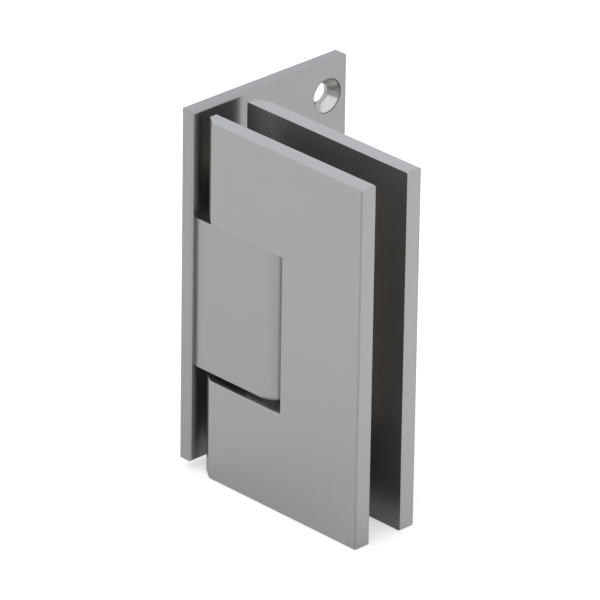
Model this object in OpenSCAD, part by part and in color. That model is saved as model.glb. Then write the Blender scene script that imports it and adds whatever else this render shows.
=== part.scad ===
// Offset wall plate hinge for a frameless glass door, drawn with the door closed.
// X points away from the wall, Y runs along the wall plate and Z is up.
// The origin is on the plate's wall face, in the door's middle plane, level with the block's middle.

/* [Wall plate] */
// Height of the wall plate
plate_h = 90; // [86:1:110]
// Width of the wall plate
plate_w = 48.9; // [44:0.1:60]
// Thickness of the wall plate
plate_t = 3.7; // [3.5:0.1:5]
// Distance from the door's middle plane to the plate's short edge
plate_short = 9.8; // [9.5:0.1:14]
// Height of the plate's middle above the block's middle
plate_rise = 1; // [0:0.1:3]
// Rounding of the plate's top and bottom front edges
plate_edge_r = 0.7; // [0.3:0.1:1]
// Rounding of the plate's upright front edges
plate_side_r = 0.3; // [0.2:0.1:1]

/* [Wall screw holes] */
// Number of wall screw holes
wall_holes = 3; // [2:1:4]
// Distance from the plate's top and bottom edges to the end holes
wall_hole_inset = 8.9; // [7:0.1:14]
// Distance from the plate's long edge to the column of holes
wall_hole_side = 6.1; // [5.5:0.1:12]
// Diameter of the hole for the wall screw's shank
wall_hole_d = 4.8; // [4.2:0.1:6]
// Diameter of the countersink for the wall screw's head
wall_head_d = 8.8; // [8:0.1:10]
// Straight depth above the countersink's cone
wall_head_sink = 0.4; // [0.2:0.1:1]

/* [Hinge block] */
// Length of the block out from the plate
block_len = 27.3; // [26.1:0.1:30]
// Thickness of the block across the door
block_t = 17.6; // [16:0.2:18.6]
// Height of the block
block_h = 38.1; // [36:0.1:46]
// Radius of the block's two outer corners
block_corner_r = 5; // [4:0.1:6]
// Distance from the pivot's axis to the block's end
pivot_setback = 9.4; // [9:0.1:9.8]

/* [Leaves] */
// Width of each leaf
leaf_w = 52.5; // [48:0.5:65]
// Height of each leaf
leaf_h = 91.2; // [80:0.2:110]
// Thickness of each leaf
leaf_t = 4.4; // [4:0.1:6]
// Gap between the leaves, for the glass and its gaskets
glass_gap = 10; // [9.6:0.1:14]
// Gap between the wall plate and the leaves
wall_gap = 2.2; // [2:0.1:3]
// Width of the chamfer on the leaf's outer edge next to the wall
chamfer_w = 3.7; // [3.2:0.1:4]
// Depth of that chamfer into the leaf's thickness
chamfer_d = 2.5; // [2.2:0.1:3]
// Rounding of the leaf's top and bottom edges
leaf_edge_r = 0.5; // [0.3:0.1:1]
// Rounding of the leaf's upright outer edge
leaf_side_r = 0.3; // [0.2:0.1:1]
// Gap between the block's underside and the notch
lower_gap = 1.65; // [0.8:0.05:2.5]
// Gap between the block's end and the notch
end_gap = 2; // [1.8:0.1:5]

/* [Clamp pad] */
// Width of the pad beyond the notch's end
pad_back = 9.5; // [9:0.1:12]
// Height of the pad's arms above and below the notch
pad_side = 11; // [10.2:0.1:13]
// Radius of the pad's corners, round the clamp screws
pad_corner_r = 5.5; // [4.8:0.1:6]

/* [Countersunk screws] */
// Thread diameter
screw_d = 5; // [4.6:0.1:5.2]
// Head diameter
screw_head_d = 9.2; // [8.4:0.1:9.4]
// Height of the head's straight rim
screw_rim = 0.25; // [0.1:0.05:0.4]
// Depth of the head below the surface
screw_sink = 0.2; // [0.1:0.05:0.4]
// Size across the flats of the hexagon socket
socket_w = 3; // [2.5:0.1:3.5]
// Depth of the hexagon socket
socket_depth = 1.9; // [1.2:0.1:2.4]
// Length of a clamp screw with its head
clamp_screw_len = 14; // [10:0.5:16]
// Length of a block screw with its head
block_screw_len = 12; // [9:0.5:12.5]
// Distance from the block's top and underside to its screws
block_screw_inset = 5.65; // [4.2:0.05:6.2]
// Bevel at a screw's tip
tip_bevel = 0.5; // [0.2:0.1:0.8]
// Drilled depth past a screw's tip
drill_past = 1; // [0.5:0.1:1.2]
// Metal between the leaf's chamfer and the nearest screw head
head_margin = 0.2; // [0.1:0.1:0.6]

/* [Set screws] */
// Thread diameter of the pin's set screws
set_d = 4; // [3:0.1:4.2]
// Depth of the set screw below the leaf's face
set_sink = 0.5; // [0.2:0.1:1]
// Size across the flats of its socket
set_socket_w = 2; // [1.5:0.1:2.2]
// Depth of its socket
set_socket_depth = 1.8; // [1:0.1:2.2]

/* [Pivot pin] */
// Diameter of the pin's middle
pin_d = 10; // [9.4:0.1:10.4]
// Diameter of the pin's journals and ends
journal_d = 8; // [7:0.1:8.4]
// Depth of the detent flats on the pin's middle
pin_flat = 0.45; // [0.2:0.05:0.8]
// Depth of the flat spots under the set screws
pin_spot = 0.3; // [0.1:0.05:0.6]
// Bevel at the pin's ends and shoulders
pin_bevel = 0.5; // [0.2:0.1:0.8]
// Metal left over each end of the pin
pin_cover = 1.1; // [0.8:0.1:2]

/* [Bushings] */
// Outer diameter of a bushing
bush_d = 12; // [11.4:0.1:12.6]
// Length of a bushing inside the block
bush_len = 9; // [7:0.1:9.4]
// Diameter of a bushing's flange
flange_d = 14; // [13.2:0.1:14.4]
// Thickness of a bushing's flange
flange_t = 0.3; // [0.2:0.05:0.8]

/* [Detent] */
// Width of the detent shoe across the door
shoe_w = 8; // [7:0.1:9]
// Height of the detent shoe
shoe_h = 16; // [14.8:0.1:17.6]
// Length of the detent shoe
shoe_len = 5.5; // [5:0.1:6]
// Rounding of the shoe's two leading edges
shoe_edge_r = 1; // [0.5:0.1:1.5]
// Travel of the shoe away from the pin
shoe_travel = 0.5; // [0.2:0.1:1]
// Outer diameter of a detent spring
spring_d = 6.6; // [5.6:0.1:6.8]
// Diameter of the spring's wire
spring_wire = 1; // [0.7:0.1:1.2]
// Turns of a detent spring
spring_turns = 6; // [5:1:7]
// Distance between the two springs' axes
spring_pitch = 7.8; // [7.6:0.1:8.2]
// Depth of the spring's seat in the shoe
spring_seat = 2; // [1:0.1:2.6]

/* [Clearances] */
// Gap round a piece that is fixed in its seat
fit_gap = 0.02; // [0.01:0.01:0.05]
// Gap round the journals in their bushings
run_gap = 0.05; // [0.03:0.01:0.1]
// Play under the leaves where they rest on the upper bushing
thrust_gap = 0.05; // [0.03:0.01:0.1]
// Gap between the pin's middle and the block's bore
bore_gap = 0.1; // [0.05:0.01:0.2]
// Gap at the ends of the pin and of its middle
end_play = 0.15; // [0.1:0.05:0.2]
// Gap between the pin's round and the shoe
shoe_gap = 0.06; // [0.04:0.01:0.1]
// Gap between the shoe and its pocket
pocket_gap = 0.05; // [0.04:0.01:0.1]
// Gap between a spring's outside and its seat
spring_gap = 0.3; // [0.2:0.05:0.4]

/* [Hidden] */

$fn = 64;
eps = 0.5;

// Wall plate
plate_y0 = -plate_short;
plate_y1 = plate_y0 + plate_w;
plate_z0 = plate_rise - plate_h / 2;
wall_hole_y = plate_y1 - wall_hole_side;
wall_hole_pitch = (plate_h - 2 * wall_hole_inset) / (wall_holes - 1);

// Block and pivot
block_x1 = plate_t + block_len;
pivot_x = block_x1 - pivot_setback;
upper_gap = flange_t + thrust_gap;
block_screw_z = block_h / 2 - block_screw_inset;

// Leaves: the notch sits round the block, and each leaf is centred on its notch
leaf_x0 = plate_t + wall_gap;
leaf_x1 = leaf_x0 + leaf_w;
leaf_in = glass_gap / 2;
leaf_out = leaf_in + leaf_t;
notch_x1 = block_x1 + end_gap;
notch_h = block_h + upper_gap + lower_gap;
leaf_z = (upper_gap - lower_gap) / 2;

// Clamp pad and the screws in its corners
pad_x1 = notch_x1 + pad_back;
pad_half = notch_h / 2 + pad_side;
screw_x_inner = leaf_x0 + chamfer_w + head_margin + screw_head_d / 2;
screw_x_outer = pad_x1 - pad_corner_r;
screw_row = pad_half - pad_corner_r;
pad_x0 = screw_x_inner - pad_corner_r;

// Pin
pin_half = pad_half - pin_cover;
pin_mid_half = block_h / 2 - bush_len - end_play;

// Detent
shoe_x1 = pivot_x - pin_d / 2 - shoe_gap;
shoe_x0 = shoe_x1 - shoe_len;
spring_r = (spring_d - spring_wire) / 2;
spring_x0 = plate_t + fit_gap;
spring_len = shoe_x0 + spring_seat - fit_gap - spring_x0;

// Wire of a coil spring
wire_sides = 8;
steps_per_turn = 18;

// Directions: turn something drawn along Z so that it runs along X, Y or back along Y
module along_x() { rotate([0, 90, 0]) children(); }
module along_y() { rotate([-90, 0, 0]) children(); }
module against_y() { rotate([90, 0, 0]) children(); }

// What a rounding takes off a square corner, seen from the rounding's centre
module corner_waste(r) {
    difference() {
        square(r + eps);
        circle(r);
    }
}

// Half section of a countersunk screw, grown by a gap, from the face of its head downwards
module screw_section(len, gap, above) {
    shank_r = screw_d / 2 - fit_gap + gap;
    head_r = screw_head_d / 2 - fit_gap + gap;
    polygon([
        [0, -above],
        [head_r, -above],
        [head_r, screw_rim],
        [shank_r, screw_rim + head_r - shank_r],
        [shank_r, len - tip_bevel],
        [shank_r - tip_bevel, len],
        [0, len]
    ]);
}

module hexagon(width, depth) {
    translate([0, 0, -eps]) cylinder(d = width / cos(30), h = depth + eps, $fn = 6);
}

module countersunk_screw(len) {
    difference() {
        rotate_extrude() screw_section(len, 0, 0);
        hexagon(socket_w, socket_depth);
    }
}

// The room for a screw: its own shape grown by the fixed gap, and the hole drilled past its tip
module screw_room(len) {
    rotate_extrude() screw_section(len, fit_gap, eps);
    cylinder(d = screw_d, h = len + drill_past);
}

// Puts a child at each clamp screw's place on the rear leaf, pointing towards the front leaf
module at_clamp_screw(x, side) {
    translate([x, leaf_out - screw_sink, leaf_z + side * screw_row]) against_y() children();
}

module at_block_screw(side) {
    translate([screw_sink, 0, side * block_screw_z]) along_x() children();
}

// Wall plate
module wall_hole() {
    shank_r = wall_hole_d / 2;
    head_r = wall_head_d / 2;
    cone_top = plate_t - wall_head_sink;
    rotate_extrude() polygon([
        [0, -eps],
        [shank_r, -eps],
        [shank_r, cone_top - (head_r - shank_r)],
        [head_r, cone_top],
        [head_r, plate_t + eps],
        [0, plate_t + eps]
    ]);
}

// The plate's flat body, with its front edges rounded, centred on the origin in Y and Z
module plate_body() {
    difference() {
        translate([0, -plate_w / 2, -plate_h / 2]) cube([plate_t, plate_w, plate_h]);
        for (side = [0, 1])
            mirror([0, side, 0])
                translate([plate_t - plate_side_r, plate_w / 2 - plate_side_r, -plate_h / 2 - eps])
                    linear_extrude(plate_h + 2 * eps) corner_waste(plate_side_r);
        for (side = [0, 1])
            mirror([0, 0, side])
                translate([plate_t - plate_edge_r, plate_w / 2 + eps, plate_h / 2 - plate_edge_r])
                    against_y() linear_extrude(plate_w + 2 * eps) corner_waste(plate_edge_r);
    }
}

module wall_plate() {
    color([0.66, 0.66, 0.67]) difference() {
        translate([0, (plate_y0 + plate_y1) / 2, plate_rise]) plate_body();
        for (i = [0 : wall_holes - 1])
            translate([0, wall_hole_y, plate_z0 + wall_hole_inset + i * wall_hole_pitch])
                along_x() wall_hole();
        for (side = [-1, 1]) at_block_screw(side) screw_room(block_screw_len);
    }
}

// Hinge block
module detent_pocket() {
    width = shoe_w + 2 * pocket_gap;
    height = shoe_h + 2 * pocket_gap;
    translate([plate_t - eps, -width / 2, -height / 2])
        cube([pivot_x - plate_t + eps, width, height]);
}

module hinge_block() {
    color([0.65, 0.65, 0.66]) difference() {
        translate([plate_t, -block_t / 2, -block_h / 2]) cube([block_len, block_t, block_h]);
        for (side = [0, 1])
            mirror([0, side, 0])
                translate([block_x1 - block_corner_r, block_t / 2 - block_corner_r, -block_h / 2 - eps])
                    linear_extrude(block_h + 2 * eps) corner_waste(block_corner_r);
        translate([pivot_x, 0, -block_h / 2])
            cylinder(d = pin_d + 2 * bore_gap, h = block_h);
        for (side = [0, 1])
            mirror([0, 0, side])
                translate([pivot_x, 0, block_h / 2 - bush_len - fit_gap])
                    cylinder(d = bush_d + 2 * fit_gap, h = bush_len + fit_gap + eps);
        detent_pocket();
        for (side = [-1, 1]) at_block_screw(side) screw_room(block_screw_len);
    }
}

module block_screw(side) {
    color([0.45, 0.45, 0.47]) at_block_screw(side) countersunk_screw(block_screw_len);
}

module block_screw_upper() { block_screw(1); }
module block_screw_lower() { block_screw(-1); }

// Bushings
module bushing(side) {
    bore_r = journal_d / 2 + run_gap;
    color([0.85, 0.84, 0.8]) mirror([0, 0, side < 0 ? 1 : 0])
        translate([pivot_x, 0, block_h / 2]) rotate_extrude() polygon([
            [bore_r, -bush_len],
            [bush_d / 2, -bush_len],
            [bush_d / 2, 0],
            [flange_d / 2, 0],
            [flange_d / 2, flange_t],
            [bore_r, flange_t]
        ]);
}

module bushing_upper() { bushing(1); }
module bushing_lower() { bushing(-1); }

// Detent shoe and its springs
module detent_shoe() {
    color([0.72, 0.6, 0.35]) difference() {
        translate([shoe_x0, -shoe_w / 2, -shoe_h / 2]) cube([shoe_len, shoe_w, shoe_h]);
        for (side = [0, 1])
            mirror([0, side, 0])
                translate([shoe_x1 - shoe_edge_r, shoe_w / 2 - shoe_edge_r, -shoe_h / 2 - eps])
                    linear_extrude(shoe_h + 2 * eps) corner_waste(shoe_edge_r);
        for (side = [-1, 1])
            translate([shoe_x0 - eps, 0, side * spring_pitch / 2])
                along_x() cylinder(d = spring_d + 2 * spring_gap, h = spring_seat + eps);
    }
}

// Height of the wire's centre along a coil with closed ends, for a turn count from 0 to turns
function coil_rise(turn, turns, wire, len) =
    let (pitch = (len - 3 * wire) / (turns - 2))
    turn < 1 ? wire / 2 + wire * turn
    : turn > turns - 1 ? len - wire / 2 - wire * (turns - turn)
    : wire * 1.5 + pitch * (turn - 1);

module coil_spring(len, r, wire, turns) {
    steps = turns * steps_per_turn;
    points = [
        for (i = [0 : steps], j = [0 : wire_sides - 1])
            let (
                angle = 360 * i / steps_per_turn,
                side = 360 * j / wire_sides,
                out = r + wire / 2 * cos(side),
                up = coil_rise(i / steps_per_turn, turns, wire, len) + wire / 2 * sin(side)
            )
            [out * cos(angle), out * sin(angle), up]
    ];
    walls = [
        for (i = [0 : steps - 1], j = [0 : wire_sides - 1])
            let (k = (j + 1) % wire_sides, a = i * wire_sides, b = a + wire_sides)
            [a + j, b + j, b + k, a + k]
    ];
    first = [for (j = [0 : wire_sides - 1]) j];
    last = [for (j = [wire_sides - 1 : -1 : 0]) steps * wire_sides + j];
    polyhedron(points, concat([first], walls, [last]));
}

module detent_spring(side) {
    color([0.5, 0.5, 0.52]) translate([spring_x0, 0, side * spring_pitch / 2])
        along_x() coil_spring(spring_len, spring_r, spring_wire, spring_turns);
}

module detent_spring_upper() { detent_spring(1); }
module detent_spring_lower() { detent_spring(-1); }

// Pivot pin: a thick middle with a flat for each resting place, and slimmer ends held by the clamp
module pin_section() {
    end_r = journal_d / 2;
    mid_r = pin_d / 2;
    polygon([
        [0, leaf_z - pin_half],
        [end_r - pin_bevel, leaf_z - pin_half],
        [end_r, leaf_z - pin_half + pin_bevel],
        [end_r, -pin_mid_half],
        [mid_r - pin_bevel, -pin_mid_half],
        [mid_r, -pin_mid_half + pin_bevel],
        [mid_r, pin_mid_half - pin_bevel],
        [mid_r - pin_bevel, pin_mid_half],
        [end_r, pin_mid_half],
        [end_r, leaf_z + pin_half - pin_bevel],
        [end_r - pin_bevel, leaf_z + pin_half],
        [0, leaf_z + pin_half]
    ]);
}

module pivot_pin() {
    flat_h = shoe_h + 2 * shoe_travel;
    spot = set_d + 2;
    color([0.55, 0.55, 0.57]) translate([pivot_x, 0, 0]) difference() {
        rotate_extrude() pin_section();
        for (turn = [90, 180, 270])
            rotate([0, 0, turn]) translate([pin_d / 2 - pin_flat, -pin_d / 2, -flat_h / 2])
                cube([pin_d, pin_d, flat_h]);
        for (side = [-1, 1])
            translate([-spot / 2, journal_d / 2 - pin_spot, leaf_z + side * screw_row - spot / 2])
                cube([spot, journal_d, spot]);
    }
}

// Leaves. The flat plate, drawn for the rear leaf: the front leaf is its mirror image.
module leaf_plate() {
    difference() {
        translate([0, 0, leaf_z - leaf_h / 2]) linear_extrude(leaf_h) polygon([
            [leaf_x0, leaf_in],
            [leaf_x1, leaf_in],
            [leaf_x1, leaf_out],
            [leaf_x0 + chamfer_w, leaf_out],
            [leaf_x0, leaf_out - chamfer_d]
        ]);
        translate([leaf_x1 - leaf_side_r, leaf_out - leaf_side_r, leaf_z - leaf_h / 2 - eps])
            linear_extrude(leaf_h + 2 * eps) corner_waste(leaf_side_r);
        for (side = [0, 1])
            translate([leaf_x0 - eps, leaf_out - leaf_edge_r, leaf_z]) mirror([0, 0, side])
                translate([0, 0, leaf_h / 2 - leaf_edge_r])
                    rotate([90, 0, 90]) linear_extrude(leaf_w + 2 * eps) corner_waste(leaf_edge_r);
        for (end = [0, 1], side = [0, 1])
            translate([(leaf_x0 + leaf_x1) / 2, leaf_out + eps, leaf_z])
                mirror([end, 0, 0]) mirror([0, 0, side])
                    translate([leaf_w / 2 - leaf_edge_r, 0, leaf_h / 2 - leaf_edge_r])
                        against_y() linear_extrude(leaf_t + 2 * eps) corner_waste(leaf_edge_r);
    }
}

module notch() {
    translate([leaf_x0 - eps, -leaf_out - eps, leaf_z - notch_h / 2])
        cube([notch_x1 - leaf_x0 + eps, 2 * (leaf_out + eps), notch_h]);
}

// The pad fills the cut-out in the glass, holds the pin's ends and takes the clamp screws
module clamp_pad() {
    width = pad_x1 - pad_x0;
    translate([pad_x0, -leaf_in - leaf_t / 2, leaf_z - pad_half]) mirror([0, 1, 0]) against_y()
        linear_extrude(glass_gap + leaf_t / 2) difference() {
            square([width, 2 * pad_half]);
            for (mx = [0, 1], mz = [0, 1])
                translate([mx * width, mz * 2 * pad_half]) mirror([mx, 0]) mirror([0, mz])
                    translate([pad_corner_r, pad_corner_r]) rotate(180) corner_waste(pad_corner_r);
        }
}

// Groove for the pin's ends, open towards the rear leaf
module pin_groove() {
    width = journal_d + 2 * fit_gap;
    height = 2 * (pin_half + end_play / 2);
    translate([pivot_x, 0, leaf_z - height / 2]) {
        cylinder(d = width, h = height);
        translate([-width / 2, 0, 0]) cube([width, leaf_out, height]);
    }
}

module front_leaf() {
    color([0.63, 0.63, 0.64]) difference() {
        union() {
            mirror([0, 1, 0]) leaf_plate();
            clamp_pad();
        }
        notch();
        pin_groove();
        for (x = [screw_x_inner, screw_x_outer], side = [-1, 1])
            at_clamp_screw(x, side) screw_room(clamp_screw_len);
    }
}

module rear_leaf() {
    color([0.66, 0.66, 0.67]) difference() {
        leaf_plate();
        notch();
        for (x = [screw_x_inner, screw_x_outer], side = [-1, 1])
            at_clamp_screw(x, side) screw_room(clamp_screw_len);
        for (side = [-1, 1])
            translate([pivot_x, leaf_in - eps, leaf_z + side * screw_row]) along_y()
                cylinder(d = set_d, h = leaf_t + 2 * eps);
    }
}

// Screws in the leaves
module clamp_screw(x, side) {
    color([0.5, 0.5, 0.52]) at_clamp_screw(x, side) countersunk_screw(clamp_screw_len);
}

module clamp_screw_upper_inner() { clamp_screw(screw_x_inner, 1); }
module clamp_screw_upper_outer() { clamp_screw(screw_x_outer, 1); }
module clamp_screw_lower_inner() { clamp_screw(screw_x_inner, -1); }
module clamp_screw_lower_outer() { clamp_screw(screw_x_outer, -1); }

module set_screw(side) {
    r = set_d / 2 - fit_gap;
    len = leaf_out - set_sink - (journal_d / 2 - pin_spot) - fit_gap;
    color([0.35, 0.35, 0.37]) translate([pivot_x, leaf_out - set_sink, leaf_z + side * screw_row])
        against_y() difference() {
            rotate_extrude() polygon([[0, 0], [r, 0], [r, len - tip_bevel], [r - tip_bevel, len], [0, len]]);
            hexagon(set_socket_w, set_socket_depth);
        }
}

module set_screw_upper() { set_screw(1); }
module set_screw_lower() { set_screw(-1); }

wall_plate();
hinge_block();
block_screw_upper();
block_screw_lower();
bushing_upper();
bushing_lower();
detent_shoe();
detent_spring_upper();
detent_spring_lower();
pivot_pin();
front_leaf();
rear_leaf();
clamp_screw_upper_inner();
clamp_screw_upper_outer();
clamp_screw_lower_inner();
clamp_screw_lower_outer();
set_screw_upper();
set_screw_lower();
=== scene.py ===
"""Glass door hinge with an offset wall plate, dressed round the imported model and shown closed."""

import logging
import math
from dataclasses import dataclass, field, replace
from enum import Enum
from typing import Union

import bmesh
import bpy
from mathutils import Matrix, Vector


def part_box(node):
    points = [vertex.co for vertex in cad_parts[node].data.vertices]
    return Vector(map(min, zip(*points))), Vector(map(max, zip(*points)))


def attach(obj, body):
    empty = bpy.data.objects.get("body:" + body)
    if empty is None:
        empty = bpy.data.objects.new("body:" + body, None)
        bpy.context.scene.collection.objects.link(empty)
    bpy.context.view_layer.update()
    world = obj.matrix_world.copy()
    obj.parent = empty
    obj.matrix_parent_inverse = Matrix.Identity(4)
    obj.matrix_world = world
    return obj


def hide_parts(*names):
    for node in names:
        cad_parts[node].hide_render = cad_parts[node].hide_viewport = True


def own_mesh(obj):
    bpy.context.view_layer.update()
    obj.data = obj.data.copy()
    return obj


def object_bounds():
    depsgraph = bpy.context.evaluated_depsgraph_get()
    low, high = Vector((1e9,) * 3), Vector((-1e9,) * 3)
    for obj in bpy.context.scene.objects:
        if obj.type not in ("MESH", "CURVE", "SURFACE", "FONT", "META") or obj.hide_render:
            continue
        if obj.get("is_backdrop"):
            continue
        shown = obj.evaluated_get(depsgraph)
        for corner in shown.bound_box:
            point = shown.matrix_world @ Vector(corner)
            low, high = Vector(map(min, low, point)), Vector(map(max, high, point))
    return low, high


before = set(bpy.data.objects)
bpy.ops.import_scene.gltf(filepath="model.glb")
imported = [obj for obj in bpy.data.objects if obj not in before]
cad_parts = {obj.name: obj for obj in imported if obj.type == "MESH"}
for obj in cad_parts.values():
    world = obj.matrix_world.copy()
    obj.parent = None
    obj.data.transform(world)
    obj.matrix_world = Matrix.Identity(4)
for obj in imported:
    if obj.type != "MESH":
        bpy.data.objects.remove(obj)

LOG = logging.getLogger("hinge")
MM = 0.001
# The attribute that marks the crests of broken edges, which show wear and a painted sheen.
EDGE_CREST = "edge_crest"
OWN_PLACE = "own_place"

# Half the width of a zone's soft border, and of the finer one for the thin skin of a face.
SOFT_BORDER = 0.02 * MM
FINE_BORDER = 0.01 * MM

# Angles between faces: joined up to the first, broken over the second, a crease over the third.
COPLANAR = math.radians(0.5)
SHARP = math.radians(35)
CREASE = math.radians(48)

# How much wider a metal's coarse lines are than its fine ones, the share of the fine ones, and how
# far their noise, which stays near 0.5, moves the colour and the roughness.
COARSER = 5.0
FINE_SHARE = 0.6
TONE_SWING = 4.0
BLUR_SWING = 3.0

Colour = tuple[float, float, float]
Triple = tuple[float, float, float]
Value = Union["Signal", float, Triple]
Object = bpy.types.Object
Material = bpy.types.Material


class Grain(Enum):
    """How a metal surface was worked."""

    BRUSHED = "lines along the piece"
    TURNED = "rings round an axis"
    BLASTED = "fine specks without a direction"


class Axis(Enum):
    """An axis of the piece, as the index of its coordinate."""

    X = 0
    Y = 1
    Z = 2

    def near(self, level: float, reach: float) -> "Span":
        """Return the span that reaches equally far to both sides of a level."""
        return (self, level - reach, level + reach)


Span = tuple[Axis, float, float]

# Where along one axis of a surface's direction it starts to face a way, and where it fully does.
DOWNWARD: Span = (Axis.Z, 0.1, -0.2)
WALLWARD: Span = (Axis.X, -0.1, -0.5)


class Signal:
    """A node's output that takes part in Python arithmetic."""

    def __init__(self, graph: "Graph", socket: bpy.types.NodeSocket) -> None:
        """Keep the socket and the graph that takes the new nodes."""
        self.graph = graph
        self.socket = socket

    def _join(self, operation: str, first: Value, second: Value) -> "Signal":
        """Join two values with one maths node.

        Args:
            operation: The node's operation.
            first: Its first value.
            second: Its second value.

        Returns:
            The node's result, a vector where either side is one.
        """
        sides = (first, second)
        wide = any(isinstance(s, tuple) or isinstance(s, Signal) and s.is_vector for s in sides)
        kind = "ShaderNodeVectorMath" if wide else "ShaderNodeMath"
        if wide:
            sides = tuple((s, s, s) if isinstance(s, (int, float)) else s for s in sides)
        return self.graph.node(kind, {"operation": operation}, dict(enumerate(sides)))

    @property
    def is_vector(self) -> bool:
        """Whether the socket carries three numbers."""
        return self.socket.type in {"VECTOR", "RGBA"}

    def __add__(self, other: Value) -> "Signal":
        """Return self + other."""
        return self._join("ADD", self, other)

    def __radd__(self, other: Value) -> "Signal":
        """Return other + self."""
        return self._join("ADD", other, self)

    def __sub__(self, other: Value) -> "Signal":
        """Return self - other."""
        return self._join("SUBTRACT", self, other)

    def __rsub__(self, other: Value) -> "Signal":
        """Return other - self."""
        return self._join("SUBTRACT", other, self)

    def __mul__(self, other: Value) -> "Signal":
        """Return self * other."""
        return self._join("MULTIPLY", self, other)

    def __rmul__(self, other: Value) -> "Signal":
        """Return other * self."""
        return self._join("MULTIPLY", other, self)

    def __truediv__(self, other: Value) -> "Signal":
        """Return self / other."""
        return self._join("DIVIDE", self, other)

    def __abs__(self) -> "Signal":
        """Return the value without its sign."""
        return self.graph.node("ShaderNodeMath", {"operation": "ABSOLUTE"}, {0: self})

    def maths(self, operation: str, other: Value = 0.0) -> "Signal":
        """Return the result of any other Math operation on this value."""
        return self.graph.node("ShaderNodeMath", {"operation": operation}, {0: self, 1: other})

    def rise(self, low: float, high: float) -> "Signal":
        """Return a smooth step from 0 at low to 1 at high; high may be the smaller one."""
        return self.graph.node(
            "ShaderNodeMapRange",
            {"interpolation_type": "SMOOTHSTEP"},
            {"Value": self, "From Min": low, "From Max": high},
        )

    def within(self, limit: float, border: float = SOFT_BORDER) -> "Signal":
        """Return 1 below a limit and 0 above it, with a soft border on both sides of it."""
        return self.rise(limit + border, limit - border)

    def hypotenuse(self, other: "Signal") -> "Signal":
        """Return the length of a vector with this value and another as its parts."""
        return (self * self + other * other).maths("SQRT")

    def parts(self) -> tuple["Signal", "Signal", "Signal"]:
        """Return the vector's X, Y and Z."""
        split = self.graph.node("ShaderNodeSeparateXYZ", {}, {0: self})
        outputs = split.socket.node.outputs
        return tuple(Signal(self.graph, outputs[i]) for i in range(3))


class Graph:
    """A node tree that is written as Python expressions."""

    def __init__(self, tree: bpy.types.NodeTree) -> None:
        """Start on an empty tree."""
        self.tree = tree
        tree.nodes.clear()

    def node(
        self,
        kind: str,
        settings: dict[str, object] | None = None,
        inputs: dict[str | int, object] | None = None,
        output: str | int = 0,
    ) -> Signal:
        """Add one node.

        Args:
            kind: The node's type.
            settings: Its properties, set first.
            inputs: The value or signal of each socket.
            output: The output that is wanted.

        Returns:
            That output.
        """
        made = self.tree.nodes.new(kind)
        count = len(self.tree.nodes)
        made.location = (180 * (count % 12), -160 * (count // 12))
        for name, setting in (settings or {}).items():
            setattr(made, name, setting)
        for name, value in (inputs or {}).items():
            self.feed(made.inputs[name], value)
        return Signal(self, made.outputs[output]) if made.outputs else None

    def feed(self, socket: bpy.types.NodeSocket, value: object) -> None:
        """Link a signal to a socket, or set the socket to a value.

        Args:
            socket: The socket.
            value: The signal or value.
        """
        if isinstance(value, Signal):
            self.tree.links.new(value.socket, socket)
        elif socket.type == "RGBA" and len(value) == 3:
            socket.default_value = (*value, 1.0)
        else:
            socket.default_value = value

    def combine(self, x: Value, y: Value, z: Value) -> Signal:
        """Return a vector of three values."""
        return self.node("ShaderNodeCombineXYZ", {}, {0: x, 1: y, 2: z})

    def mix(self, factor: Value, first: Value, second: Value) -> Signal:
        """Blend two colours: a factor of 0 gives the first and 1 the second."""
        inputs = {0: factor, 6: first, 7: second}
        return self.node("ShaderNodeMix", {"data_type": "RGBA"}, inputs, output=2)


@dataclass(frozen=True)
class Look:
    """What a surface shows at each of its points."""

    colour: Signal
    roughness: Signal
    height: Signal


class MaterialGraph(Graph):
    """The nodes of one material."""

    def __init__(self, name: str) -> None:
        """Make an empty material of that name.

        Args:
            name: The material's name.
        """
        self.material = bpy.data.materials.new(name)
        self.material.use_nodes = True
        super().__init__(self.material.node_tree)
        places = self.node("ShaderNodeTexCoord", output="Object")
        self.place = places
        self.normal = Signal(self, places.socket.node.outputs["Normal"])

    def attribute(self, name: str, output: str) -> Signal:
        """Return one of the piece's own attributes."""
        return self.node("ShaderNodeAttribute", {"attribute_name": name}, output=output)

    def noise(
        self, place: Signal, size: float = 1.0, detail: float = 2.0, rough: float = 0.5
    ) -> Signal:
        """Return noise round 0.5 with features about as wide as the size, and finer layers."""
        scaled = place if size == 1.0 else place * (1 / size)
        return self.node(
            "ShaderNodeTexNoise",
            {"noise_dimensions": "3D"},
            {"Vector": scaled, "Scale": 1.0, "Detail": detail, "Roughness": rough},
        )

    def blend(self, mask: Signal, below: Look, above: Look) -> Look:
        """Lay one look over another where the mask is 1."""
        return Look(
            self.mix(mask, below.colour, above.colour),
            below.roughness + mask * (above.roughness - below.roughness),
            below.height + mask * (above.height - below.height),
        )

    def finish(self, look: Look, metallic: float) -> Material:
        """Wire a look to the shader.

        Args:
            look: Colour, roughness and height.
            metallic: 1 for metal and 0 for plastic.

        Returns:
            The material.
        """
        relief = {"Strength": 1.0, "Distance": 1.0, "Height": look.height}
        surface = {
            "Base Color": look.colour,
            "Metallic": metallic,
            "Roughness": look.roughness,
            "Normal": self.node("ShaderNodeBump", {}, relief),
        }
        shader = self.node("ShaderNodeBsdfPrincipled", {}, surface)
        self.node("ShaderNodeOutputMaterial", {}, {"Surface": shader})
        return self.material


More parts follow.
